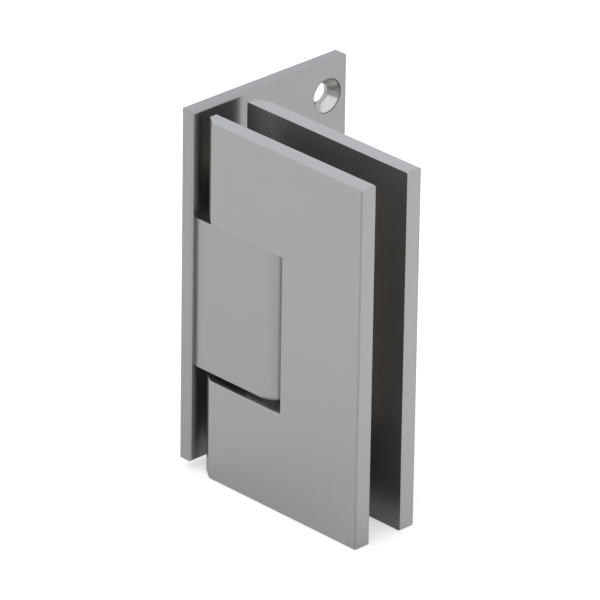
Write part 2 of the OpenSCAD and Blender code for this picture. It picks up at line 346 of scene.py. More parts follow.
@dataclass(frozen=True)
class MetalFinish:
    """A worked metal surface.

    Attributes:
        colour: Its colour, as linear numbers.
        roughness: How much it blurs what it reflects.
        grain: How it was worked.
        line_gap: Distance between its finest lines, rings or specks.
        line_length: How far a brushed line runs.
        contrast: Share by which the lines change the colour.
        relief: Height of the lines.
        mottle: Share by which soft patches change the colour.
        patch: How wide the soft patches are.
        along: The axis that brushed lines follow on upright faces, or the rings' axis. On level
            faces brushed lines follow X.
        centre: A point on the rings' axis.
    """

    colour: Colour
    roughness: float
    grain: Grain = Grain.BRUSHED
    line_gap: float = 0.16 * MM
    line_length: float = 14 * MM
    contrast: float = 0.05
    relief: float = 0.5e-6
    mottle: float = 0.02
    patch: float = 18 * MM
    along: Axis = Axis.Z
    centre: Triple = (0.0, 0.0, 0.0)

    def _stretched(self, place: Signal, axis: Axis, gap: float) -> Signal:
        """Return the place in units of a line's gap and, along one axis, of its length."""
        units = [1 / gap] * 3
        units[axis.value] = 1 / self.line_length
        return place * tuple(units)

    def _lines(self, graph: MaterialGraph, place: Signal, gap: float) -> Signal:
        """Make the pattern of lines, rings or specks.

        Args:
            graph: The material's nodes.
            place: Where the point is.
            gap: The distance between the lines.

        Returns:
            A value round 0.5.
        """
        if self.grain is Grain.BLASTED:
            return graph.noise(place, gap, 3.0)
        if self.grain is Grain.TURNED:
            off = list((place - self.centre).parts())
            depth = off.pop(self.along.value)
            return graph.noise(graph.combine(off[0].hypotenuse(off[1]), depth, 0.0), gap)
        upright = graph.noise(self._stretched(place, self.along, gap))
        level = graph.noise(self._stretched(place, Axis.X, gap))
        on_level_face = abs(graph.normal.parts()[2]).rise(0.6, 0.8)
        return upright + on_level_face * (level - upright)

    def look(self, graph: MaterialGraph, place: Signal | None = None) -> Look:
        """Build the finish in a material.

        Args:
            graph: The material's nodes.
            place: Where the point is, if not by the piece's own coordinates.

        Returns:
            The look.
        """
        place = place or graph.place
        fine = self._lines(graph, place, self.line_gap)
        coarse = self._lines(graph, place, COARSER * self.line_gap)
        lines = FINE_SHARE * fine + (1 - FINE_SHARE) * coarse
        patch = graph.noise(place, self.patch, 3.0, 0.6)
        change = (lines - 0.5) * self.contrast + (patch - 0.5) * self.mottle
        colour = (change * TONE_SWING + 1.0) * self.colour
        roughness = change * BLUR_SWING + self.roughness
        return Look(colour, roughness, lines * self.relief)


@dataclass(frozen=True)
class Zone:
    """A part of a piece that has a finish of its own, perhaps only where it faces some way."""

    finish: MetalFinish
    facing: Span | None = field(default=None, kw_only=True)

    def inside(self, graph: MaterialGraph) -> Signal:
        """Return 1 inside the zone, whichever way the surface faces."""
        raise NotImplementedError

    def mask(self, graph: MaterialGraph) -> Signal:
        """Return 1 where the finish shows and 0 elsewhere."""
        if self.facing is None:
            return self.inside(graph)
        axis, start, full = self.facing
        return self.inside(graph) * graph.normal.parts()[axis.value].rise(start, full)

    def look(self, graph: MaterialGraph) -> Look:
        """Return the look inside the zone."""
        return self.finish.look(graph)


@dataclass(frozen=True)
class RoundZone(Zone):
    """What lies within a radius of an axis, such as a drilled hole."""

    radius: float
    axis: Axis
    centre: Triple

    def inside(self, graph: MaterialGraph) -> Signal:
        """Return 1 near the axis."""
        off = list((graph.place - self.centre).parts())
        off.pop(self.axis.value)
        return off[0].hypotenuse(off[1]).within(self.radius)


@dataclass(frozen=True)
class HoleRow(Zone):
    """Round holes along X, one above the other at an even pitch from the middle one."""

    radius: float
    middle: Triple
    pitch: float

    def _from_axis(self, graph: MaterialGraph) -> Signal:
        """Return the point as measured from the nearest hole's axis."""
        x, y, z = (graph.place - self.middle).parts()
        nearest = ((z * (1 / self.pitch) + 0.5).maths("FRACT") - 0.5) * self.pitch
        return graph.combine(x, y, nearest)

    def inside(self, graph: MaterialGraph) -> Signal:
        """Return 1 near an axis."""
        _, y, z = self._from_axis(graph).parts()
        return y.hypotenuse(z).within(self.radius)

    def look(self, graph: MaterialGraph) -> Look:
        """Return the finish with its rings round each hole's axis."""
        return self.finish.look(graph, self._from_axis(graph))


@dataclass(frozen=True)
class SpanZone(Zone):
    """What lies between pairs of planes, each pair across one axis.

    Attributes:
        spans: The axis and the low and high place of each pair.
        fades: For an axis, where the finish starts to show and where it is complete.
        border: Half the width of its soft border.
    """

    spans: tuple[Span, ...] = ()
    fades: tuple[Span, ...] = ()
    border: float = SOFT_BORDER

    def inside(self, graph: MaterialGraph) -> Signal:
        """Return 1 between all the planes, where the finish is complete.

        Args:
            graph: The material's nodes.

        Returns:
            The mask, which falls to 0 over the border and along the fades.
        """
        places = graph.place.parts()
        share: Value = 1.0
        for axis, low, high in self.spans:
            off = abs(places[axis.value] - (low + high) / 2)
            share = off.within((high - low) / 2, self.border) * share
        for axis, start, full in self.fades:
            share = places[axis.value].rise(start, full) * share
        return share


@dataclass(frozen=True)
class FineZone(SpanZone):
    """What lies between planes, such as the thin skin of a face, with a finer border."""

    border: float = FINE_BORDER


@dataclass(frozen=True)
class MetalCoat:
    """A finish for a whole piece, with zones of another finish.

    Its broken edges are worn in spots, with a painted sheen: lighter by the wear and sheen, and
    smoother by the polish.
    """

    name: str
    base: MetalFinish
    zones: tuple[Zone, ...] = ()
    wear_and_sheen: float = 0.12
    polish: float = 0.05
    spot: float = 1.2 * MM

    def material(self) -> Material:
        """Make the material.

        Returns:
            The material.
        """
        graph = MaterialGraph(self.name)
        look = self.base.look(graph)
        for zone in self.zones:
            look = graph.blend(zone.mask(graph), look, zone.look(graph))
        # Spots on the edge crests, lighter partly by wear and partly as a painted sheen.
        spots = graph.noise(graph.place, self.spot, 3.0).rise(0.35, 0.6)
        wear_and_sheen_mask = graph.attribute(EDGE_CREST, "Fac") * spots
        brighter = look.colour * (wear_and_sheen_mask * self.wear_and_sheen + 1.0)
        smoother = look.roughness - wear_and_sheen_mask * self.polish
        return graph.finish(Look(brighter, smoother, look.height), 1.0)


@dataclass(frozen=True)
class ScrewCoat:
    """The finish of screws, whose rings follow each screw's own axis.

    Inside the socket's radius it gets darker by the shade and rougher by the blur, from the first
    of the depths to the second.
    """

    name: str
    base: MetalFinish
    shade: float = 0.45
    blur: float = 0.1
    socket: float = 1.8 * MM
    depths: tuple[float, float] = (0.1 * MM, 0.8 * MM)

    def material(self) -> Material:
        """Make the material.

        Returns:
            The material.
        """
        graph = MaterialGraph(self.name)
        own = graph.attribute(OWN_PLACE, "Vector")
        look = self.base.look(graph, own)
        x, y, z = own.parts()
        deep = z.rise(*self.depths) * x.hypotenuse(y).rise(self.socket, self.socket * 0.85)
        darker = look.colour * (1.0 - deep * self.shade)
        rougher = look.roughness + deep * self.blur
        return graph.finish(Look(darker, rougher, look.height), 1.0)


@dataclass(frozen=True)
class PlasticCoat:
    """A moulded plastic with faint flow marks and a fine matt grain."""

    name: str
    colour: Colour
    roughness: float
    flow: float = 4 * MM
    grain: float = 0.12 * MM
    flow_tone: float = 0.16
    grain_tone: float = 0.06
    grain_blur: float = 0.2
    relief: float = 2e-6

    def material(self) -> Material:
        """Make the material.

        Returns:
            The material.
        """
        graph = MaterialGraph(self.name)
        flow = graph.noise(graph.place, self.flow, 4.0, 0.6) - 0.5
        grain = graph.noise(graph.place, self.grain) - 0.5
        colour = (flow * self.flow_tone + grain * self.grain_tone + 1.0) * self.colour
        roughness = grain * self.grain_blur + self.roughness
        return graph.finish(Look(colour, roughness, grain * self.relief), 0.0)


# The finishes of this hinge, with copies that carry painted light or shade: first the satin faces,
# then what is seen between them.
SATIN = MetalFinish(
    (0.413, 0.412, 0.411),
    0.31,
    Grain.BLASTED,
    line_gap=0.11 * MM,
    contrast=0.012,
    relief=0.1e-6,
    mottle=0.006,
)
SATIN_BLOCK = replace(SATIN, colour=(0.396, 0.394, 0.394))
# Painted shade: the block's rounded end gets darker and cooler towards its bottom edge.
PAINTED_FOOT_SHADE = replace(SATIN, colour=(0.150, 0.154, 0.190))
# Painted shade: the block's underside is darker, so the notch floor under it mirrors it darker.
PAINTED_UNDER_SHADE = replace(SATIN, colour=(0.190, 0.190, 0.205))
# Painted glint: the underside gets light and bluish towards the block's rounded end.
PAINTED_UNDER_GLINT = replace(SATIN, colour=(0.80, 0.83, 0.94))
SATIN_PLATE = replace(SATIN, colour=(0.374, 0.371, 0.371))
# Painted shade: a darker copy of the satin for the wall plate's top face.
PAINTED_TOP_SHADE = replace(SATIN, colour=(0.330, 0.329, 0.330))
# Painted reflection: a darker line down the leaves' upright outer corner.
PAINTED_CORNER_SHADE = replace(SATIN, colour=(0.356, 0.355, 0.354))
INNER = replace(SATIN, colour=(0.520, 0.512, 0.522), roughness=0.36, contrast=0.03)
# Painted shade: the leaves' inner faces get darker towards the bottom.
PAINTED_INNER_SHADE = replace(INNER, colour=(0.168, 0.166, 0.169))
INNER_NOTCH = replace(INNER, colour=(0.500, 0.505, 0.540))
# Painted highlight: the floor of the front leaf's notch gets lighter towards the outer face.
PAINTED_LIP_HIGHLIGHT = replace(INNER, colour=(0.90, 0.91, 0.96))

# Machined faces, the countersinks of the wall holes with painted shade, the cast pad with painted
# light, and the small parts.
MILLED = MetalFinish((0.34, 0.335, 0.325), 0.34, line_gap=0.22 * MM, contrast=0.08, relief=1e-6)
TURNED = MetalFinish(
    (0.66, 0.66, 0.67), 0.22, Grain.TURNED, line_gap=0.12 * MM, contrast=0.03, relief=0.3e-6
)
SUNK = replace(TURNED, along=Axis.X)
# Painted shade: a dark ring at the countersinks' outer rim.
PAINTED_RIM_SHADE = replace(SUNK, colour=(0.36, 0.36, 0.35))
# Painted shade: the countersinks' downward-facing parts are darker.
PAINTED_SINK_SHADE = replace(SUNK, colour=(0.53, 0.525, 0.50), roughness=0.28)
SUNK_BORE = replace(SUNK, colour=(0.42, 0.42, 0.42), roughness=0.3)
CAST = MetalFinish(
    (0.26, 0.24, 0.195), 0.42, Grain.BLASTED, line_gap=0.14 * MM, contrast=0.12, relief=6e-6
)
# Painted light: a lighter copy of the cast finish on the pad's faces towards the wall, which lie in
# shade.
PAINTED_CAST_LIGHT = replace(CAST, colour=(0.40, 0.37, 0.30))
PIN = MetalFinish(
    (0.50, 0.50, 0.51), 0.18, Grain.TURNED, line_gap=0.1 * MM, contrast=0.05, relief=0.6e-6
)
SCREW = MetalFinish(
    (0.46, 0.46, 0.465), 0.24, Grain.TURNED, line_gap=0.09 * MM, contrast=0.08, relief=0.8e-6
)
BLACKENED = MetalFinish(
    (0.075, 0.075, 0.08), 0.36, Grain.TURNED, line_gap=0.1 * MM, contrast=0.15, relief=1e-6
)
SPRING = MetalFinish((0.30, 0.29, 0.275), 0.3, line_gap=0.08 * MM, contrast=0.12)
BRASS = MetalFinish((0.62, 0.46, 0.22), 0.28, line_gap=0.14 * MM, contrast=0.08)


def in_scene(name: str, data: bpy.types.ID) -> Object:
    """Put a new object with this mesh, lamp or camera in the scene."""
    made = bpy.data.objects.new(name, data)
    bpy.context.scene.collection.objects.link(made)
    return made


class Metalwork:
    """Mesh work that the pieces share."""

    @staticmethod
    def break_edges(mesh: bmesh.types.BMesh, width: float) -> None:
        """Break the sharp edges with a small rounding, and mark its crest for wear and a painted
        sheen.

        Args:
            mesh: The mesh to change.
            width: The rounding's width on each side of an edge.
        """
        sharp = [e for e in mesh.edges if e.is_manifold and e.calc_face_angle(0.0) > SHARP]
        made = bmesh.ops.bevel(
            mesh,
            geom=sharp,
            offset=width,
            offset_type="OFFSET",
            segments=2,
            profile=0.5,
            affect="EDGES",
            clamp_overlap=False,
            miter_outer="SHARP",
            loop_slide=True,
        )
        layer = mesh.verts.layers.float.new(EDGE_CREST)
        strip = set(made["faces"])
        for vertex in mesh.verts:
            if vertex.link_faces and all(face in strip for face in vertex.link_faces):
                vertex[layer] = 1.0

    @staticmethod
    def as_object(name: str, mesh: bpy.types.Mesh, coat: Material) -> Object:
        """Put a mesh in the scene, smooth over its soft edges.

        Args:
            name: The piece's name.
            mesh: Its mesh.
            coat: Its material.

        Returns:
            The piece.
        """
        mesh.materials.clear()
        mesh.materials.append(coat)
        mesh.polygons.foreach_set("use_smooth", [True] * len(mesh.polygons))
        mesh.set_sharp_from_angle(angle=CREASE)
        return in_scene(name, mesh)

    @classmethod
    def dressed(
        cls, name: str, node: str, coat: Material, slot: str, edge: float = 0.1 * MM
    ) -> Object:
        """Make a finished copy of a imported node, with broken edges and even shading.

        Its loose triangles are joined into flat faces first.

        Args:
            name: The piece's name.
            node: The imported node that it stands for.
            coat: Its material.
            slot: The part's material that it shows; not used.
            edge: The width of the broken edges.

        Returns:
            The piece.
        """
        work = bmesh.new()
        work.from_mesh(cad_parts[node].data)
        bmesh.ops.remove_doubles(work, verts=work.verts, dist=1e-7)
        bmesh.ops.dissolve_limit(work, angle_limit=COPLANAR, verts=work.verts, edges=work.edges)
        cls.break_edges(work, edge)
        mesh = bpy.data.meshes.new(name)
        work.to_mesh(mesh)
        work.free()
        piece = cls.as_object(name, mesh, coat)
        shading = piece.modifiers.new("even_shading", "WEIGHTED_NORMAL")
        shading.keep_sharp = True
        shading.weight = 100
        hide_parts(node)
        return piece


class ShapeTree(Graph):
    """A Geometry Nodes tree whose sizes are named inputs."""

    def __init__(self, name: str) -> None:
        """Make an empty tree of that name.

        Args:
            name: The tree's name.
        """
        super().__init__(bpy.data.node_groups.new(name, "GeometryNodeTree"))
        face = self.tree.interface
        face.new_socket("Points", in_out="INPUT", socket_type="NodeSocketGeometry")
        face.new_socket("Geometry", in_out="OUTPUT", socket_type="NodeSocketGeometry")
        self.entry = self.tree.nodes.new("NodeGroupInput")
        self.exit = self.tree.nodes.new("NodeGroupOutput")
        self.values: dict[str, object] = {}

    def size(self, name: str, value: object, kind: str = "NodeSocketFloat") -> Signal:
        """Add a named input, and say what the modifier sets it to."""
        made = self.tree.interface.new_socket(name, in_out="INPUT", socket_type=kind)
        self.values[made.identifier] = value
        return Signal(self, self.entry.outputs[name])

    def repeated(self, shape: Signal, turn: Value = (0.0, 0.0, 0.0)) -> Signal:
        """Return a copy of a shape, turned, on each point of the mesh that carries the tree."""
        inputs = {"Points": Signal(self, self.entry.outputs["Points"]), "Instance": shape}
        return self.node("GeometryNodeInstanceOnPoints", {}, {**inputs, "Rotation": turn})

    def _run(self, name: str, points: list[Vector]) -> bpy.types.Mesh:
        """Run the tree on points.

        Args:
            name: The name for the mesh.
            points: The points that carry the tree.

        Returns:
            The result as a plain mesh, with its faces outwards.
        """
        host_mesh = bpy.data.meshes.new(name + "_points")
        host_mesh.from_pydata([tuple(point) for point in points], [], [])
        host = in_scene(name + "_points", host_mesh)
        modifier = host.modifiers.new(self.tree.name, "NODES")
        modifier.node_group = self.tree
        for identifier, value in self.values.items():
            modifier[identifier] = value
        graph = bpy.context.evaluated_depsgraph_get()
        mesh = bpy.data.meshes.new_from_object(
            host.evaluated_get(graph), preserve_all_data_layers=True, depsgraph=graph
        )
        host.modifiers.remove(modifier)
        bpy.data.objects.remove(host)
        mesh.name = name
        work = bmesh.new()
        work.from_mesh(mesh)
        if work.calc_volume(signed=True) < 0:
            bmesh.ops.reverse_faces(work, faces=work.faces)
        work.to_mesh(mesh)
        work.free()
        return mesh

    def piece(
        self, name: str, shapes: Signal, nodes: tuple[str, ...], way: Triple, coat: Material
    ) -> Object:
        """Make one piece of all the shapes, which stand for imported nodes.

        Args:
            name: The piece's name.
            shapes: The instances that the tree ends in.
            nodes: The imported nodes. A shape starts in the middle of an end of each one's box.
            way: The direction in which the shapes point.
            coat: Their material.

        Returns:
            The piece.
        """
        solid = self.node("GeometryNodeRealizeInstances", {}, {"Geometry": shapes})
        result = self.node("GeometryNodeSetMaterial", {}, {"Geometry": solid, "Material": coat})
        self.tree.links.new(result.socket, self.exit.inputs["Geometry"])
        points = []
        for node in nodes:
            low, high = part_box(node)
            points.append((low + high - (high - low) * Vector(way)) / 2)
        made = Metalwork.as_object(name, self._run(name, points), coat)
        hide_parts(*nodes)
        return made


@dataclass(frozen=True)
class Screw:
    """One kind of screw. A set screw has a head as wide as its shank.

    Attributes:
        head: Radius of the head, which has a straight rim.
        shank: Radius over the thread.
        socket: Size across the flats of the hexagon socket.
        depth: Depth of the socket.
        thread: Depth of the thread.
        tip: Bevel at the tip.
        edge: Bevel round the head.
        lead: Depth of the bevel round the socket.
        lead_width: Its size, as a share of the size over the socket's corners.
        drill: Depth of the cone under the socket, as a share of the socket's size.
        run_out: Share of the thread in which it rises, and in which it sinks again.
        around: Sides of the screw.
        per_pitch: Steps along a pitch.
        seed: Decides how far each screw is turned.
    """

    head: float
    rim: float
    shank: float
    length: float
    socket: float
    depth: float
    pitch: float
    thread: float
    tip: float = 0.5 * MM
    edge: float = 0.1 * MM
    lead: float = 0.12 * MM
    lead_width: float = 1.04
    drill: float = 0.12
    run_out: float = 0.06
    around: int = 36
    per_pitch: int = 8
    seed: int = 7

    def _grid(self, tree: ShapeTree) -> Signal:
        """Return a grid that is wrapped round to a screw pointing along Z.

        Each column follows the outline: eight corners from the bottom of the socket over the head
        to its neck, then the thread, then two corners at the tip.

        Args:
            tree: The screw's nodes.

        Returns:
            The wrapped grid.
        """
        head = tree.size("Head radius", self.head)
        rim = tree.size("Rim height", self.rim)
        shank = tree.size("Shank radius", self.shank)
        length = tree.size("Length", self.length)
        socket = tree.size("Socket width", self.socket)
        depth = tree.size("Socket depth", self.depth)
        pitch = tree.size("Thread pitch", self.pitch)
        thread = tree.size("Thread depth", self.thread)
        tip = tree.size("Tip bevel", self.tip)

        thread_rows = max(8, round((self.length - self.rim) / self.pitch * self.per_pitch))
        rows = 8 + thread_rows + 2
        counts = {"Vertices X": self.around + 1, "Vertices Y": rows}
        grid = tree.node("GeometryNodeMeshGrid", {}, counts)
        index = tree.node("GeometryNodeInputIndex")
        column = (index / float(rows) + 1e-4).maths("FLOOR")
        row = index - column * float(rows)
        angle = column * (2 * math.pi / self.around)

        sector = (angle / (math.pi / 3)).maths("FRACT") * (math.pi / 3) - math.pi / 6
        hexagon = socket * 0.5 / sector.maths("COSINE")
        neck = rim + head - shank
        corners = {
            0: (0.0, depth + socket * self.drill),
            1: (hexagon, depth),
            2: (hexagon, self.lead),
            3: (socket * (self.lead_width / math.sqrt(3)), 0.0),
            4: (head - self.edge, 0.0),
            5: (head, self.edge),
            6: (head, rim),
            7: (shank, neck),
            rows - 2: (shank - tip, length),
            rows - 1: (0.0, length),
        }
        out: Value = 0.0
        down: Value = 0.0
        for number, (radius, level) in corners.items():
            same_row = {0: row, 1: float(number), 2: 0.5}
            here = tree.node("ShaderNodeMath", {"operation": "COMPARE"}, same_row)
            out = here * radius + out
            down = here * level + down

        run = (row - 7.0) / float(thread_rows)
        height = neck + run * (length - tip - neck)
        turned = height / pitch - column / float(self.around)
        wave = abs(turned.maths("FRACT") - 0.5) * 2.0
        held = run.rise(0.0, self.run_out) * run.rise(1.0, 1 - self.run_out)
        on_thread = row.maths("GREATER_THAN", 7.5) * row.maths("LESS_THAN", rows - 2.5)
        out = out + on_thread * (shank - wave * thread * held)
        down = down + on_thread * height
        place = tree.combine(out * angle.maths("COSINE"), out * angle.maths("SINE"), down)
        return tree.node("GeometryNodeSetPosition", {}, {"Geometry": grid, "Position": place})

    def piece(self, name: str, nodes: tuple[str, ...], way: Triple, coat: Material) -> Object:
        """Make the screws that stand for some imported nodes.

        Args:
            name: The piece's name.
            nodes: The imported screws.
            way: The direction in which the screws point.
            coat: Their material.

        Returns:
            One piece with all the screws.
        """
        tree = ShapeTree(name)
        sewn = {"Geometry": self._grid(tree), "Distance": 1e-6}
        closed = tree.node("GeometryNodeMergeByDistance", {}, sewn)
        own = tree.node("GeometryNodeInputPosition")
        kept = tree.node(
            "GeometryNodeStoreNamedAttribute",
            {"data_type": "FLOAT_VECTOR", "domain": "POINT"},
            {"Geometry": closed, "Name": OWN_PLACE, "Value": own},
        )
        direction = Vector(way).to_track_quat("Z", "Y").to_euler()
        turn = tree.size("Direction", tuple(direction), "NodeSocketRotation")
        seed = tree.size("Turn seed", self.seed, "NodeSocketInt")
        full_turn = {3: 2 * math.pi, "Seed": seed}
        spin = tree.node("FunctionNodeRandomValue", {"data_type": "FLOAT"}, full_turn, output=1)
        spun = tree.node(
            "GeometryNodeRotateInstances",
            {},
            {"Instances": tree.repeated(kept, turn), "Rotation": tree.combine(0.0, 0.0, spin)},
        )
        return tree.piece(name, spun, nodes, way, coat)


COUNTERSUNK = Screw(
    head=4.58 * MM, rim=0.25 * MM, shank=2.48 * MM, length=12 * MM,
    socket=3 * MM, depth=1.9 * MM, pitch=0.8 * MM, thread=0.43 * MM,
)
HEADLESS = Screw(
    head=1.98 * MM, rim=0.15 * MM, shank=1.98 * MM, length=5.18 * MM,
    socket=2 * MM, depth=1.8 * MM, pitch=0.7 * MM, thread=0.36 * MM,
)


@dataclass(frozen=True)
class CoilSpring:
    """A coil spring along X, whose first and last turns are closed.

    The wire's section has the number of sides and each turn the number of steps. The travel is how
    much shorter the spring would get; it is not used.
    """

    wire: float = 1.0 * MM
    turns: int = 6
    steps: int = 32
    sides: int = 12
    travel: float = 0.5 * MM

    def piece(self, name: str, nodes: tuple[str, ...], coat: Material) -> Object:
        """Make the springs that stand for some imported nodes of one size.

        Args:
            name: The piece's name.
            nodes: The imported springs.
            coat: Their material.

        Returns:
            One piece with all the springs.
        """
        low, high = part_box(nodes[0])
        tree = ShapeTree("detent_spring")
        wire = tree.size("Wire diameter", self.wire)
        turns = tree.size("Turns", float(self.turns))
        length = tree.size("Free length", high.x - low.x)
        radius = tree.size("Coil radius", (high.y - low.y - self.wire) / 2)
        line = tree.node("GeometryNodeMeshLine", {}, {"Count": self.turns * self.steps + 1})
        turn = tree.node("GeometryNodeInputIndex") / float(self.steps)
        angle = turn * (2 * math.pi)
        pitch = (length - wire * 3.0) / (turns - 2.0)
        first = turn.maths("MINIMUM", 1.0) * wire
        middle = (turn - 1.0).maths("MAXIMUM", 0.0).maths("MINIMUM", turns - 2.0) * pitch
        last = (turn - turns + 1.0).maths("MAXIMUM", 0.0) * wire
        along = wire * 0.5 + first + middle + last
        across = (radius * angle.maths("SINE"), radius * angle.maths("COSINE") * -1.0)
        wound = {"Geometry": line, "Position": tree.combine(along, *across)}
        coil = tree.node("GeometryNodeSetPosition", {}, wound)
        path = tree.node("GeometryNodeMeshToCurve", {}, {"Mesh": coil})
        circle = {"Resolution": self.sides, "Radius": wire * 0.5}
        section = tree.node("GeometryNodeCurvePrimitiveCircle", {}, circle)
        swept = {"Curve": path, "Profile Curve": section, "Fill Caps": True}
        tube = tree.node("GeometryNodeCurveToMesh", {}, swept)
        return tree.piece(name, tree.repeated(tube), nodes, (1, 0, 0), coat)


@dataclass
class WallBracket:
    """The plate on the wall, its block and what stays with them.

    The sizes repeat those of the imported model, in metres. A fade is where a finish starts to show
    and where it is complete.
    """

    plate_top: Span = Axis.Z.near(46 * MM, 0.02 * MM)
    plate_back: Span = Axis.X.near(0.0, 0.03 * MM)
    middle_hole: Triple = (0.0, 33 * MM, 1 * MM)
    hole_pitch: float = 36.1 * MM
    hole_rim: float = 4.46 * MM
    hole_sink: float = 4.26 * MM
    hole_bore: float = 2.46 * MM
    pivot: Triple = (21.6 * MM, 0.0, 0.0)
    pivot_bore: float = 6.1 * MM
    foot_shade_fades: tuple[Span, ...] = (
        (Axis.X, 25 * MM, 27.8 * MM),
        (Axis.Z, -18.15 * MM, -19.05 * MM),
    )
    underside: Span = Axis.Z.near(-19.05 * MM, 0.04 * MM)
    under_shade_fade: Span = (Axis.X, 28 * MM, 22 * MM)
    under_glint_fade: Span = (Axis.X, 25 * MM, 28 * MM)
    bushing_edge: float = 0.06 * MM
    screw: Screw = COUNTERSUNK
    spring: CoilSpring = CoilSpring()

    def plate(self) -> Object:
        """Make the wall plate, with bright countersinks, a ground back, and painted shade on its
        top face and in its countersinks.

        Returns:
            The plate.
        """
        holes = (self.middle_hole, self.hole_pitch)
        # Painted shade on the top face, on the countersinks' rims and on their downward parts.
        zones = (
            FineZone(PAINTED_TOP_SHADE, (self.plate_top,)),
            HoleRow(PAINTED_RIM_SHADE, self.hole_rim, *holes),
            HoleRow(SUNK, self.hole_sink, *holes),
            HoleRow(PAINTED_SINK_SHADE, self.hole_sink, *holes, facing=DOWNWARD),
            HoleRow(SUNK_BORE, self.hole_bore, *holes),
            FineZone(MILLED, (self.plate_back,)),
        )
        coat = MetalCoat("satin_wall_plate", SATIN_PLATE, zones).material()
        return Metalwork.dressed("satin_wall_plate", "wall_plate", coat, "satin_metal")

    def block(self) -> Object:
        """Make the hinge block, with a bored hole for the pivot, painted shade towards the bottom
        of its rounded end and under it, and a painted glint under that end.

        Returns:
            The block.
        """
        bored = replace(TURNED, centre=self.pivot)
        # Painted shade on the rounded end's foot and under the block, and a painted glint under its
        # end.
        zones = (
            SpanZone(PAINTED_FOOT_SHADE, fades=self.foot_shade_fades),
            SpanZone(PAINTED_UNDER_SHADE, (self.underside,), (self.under_shade_fade,)),
            SpanZone(PAINTED_UNDER_GLINT, (self.underside,), (self.under_glint_fade,)),
            RoundZone(bored, self.pivot_bore, Axis.Z, self.pivot),
        )
        coat = MetalCoat("satin_block", SATIN_BLOCK, zones).material()
        return Metalwork.dressed("satin_hinge_block", "hinge_block", coat, "satin_metal")

    def bushings(self) -> list[Object]:
        """Make the two flanged bushings.

        Returns:
            Both bushings.
        """
        coat = PlasticCoat("moulded_nylon", (0.62, 0.6, 0.54), 0.42).material()
        return [
            Metalwork.dressed(f"flanged_{node}", node, coat, "bushing_nylon", self.bushing_edge)
            for node in ("bushing_upper", "bushing_lower")
        ]

    def build(self) -> None:
        """Make every piece of the bracket and let it ride on its body."""
        nodes = ("block_screw_upper", "block_screw_lower")
        coat = ScrewCoat("bright_screws", SCREW).material()
        screws = self.screw.piece("block_screws", nodes, (1, 0, 0), coat)
        nodes = ("detent_spring_upper", "detent_spring_lower")
        coat = MetalCoat("spring_wire", SPRING, wear_and_sheen=0.0).material()
        springs = self.spring.piece("detent_springs", nodes, coat)
        for piece in [self.plate(), self.block(), screws, *self.bushings(), springs]:
            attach(piece, "wall_bracket")
            LOG.info("%s rides on wall_bracket", piece.name)
        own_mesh(springs)


@dataclass
class Detent:
    """The sliding shoe that holds the door at its resting places."""

    edge: float = 0.08 * MM

    def build(self) -> None:
        """Make the shoe and let it ride on its body."""
        coat = MetalCoat("brushed_brass", BRASS).material()
        name, node = "brass_detent_shoe", "detent_shoe"
        piece = Metalwork.dressed(name, node, coat, "shoe_brass", self.edge)
        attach(piece, "detent")
        LOG.info("%s rides on detent", piece.name)


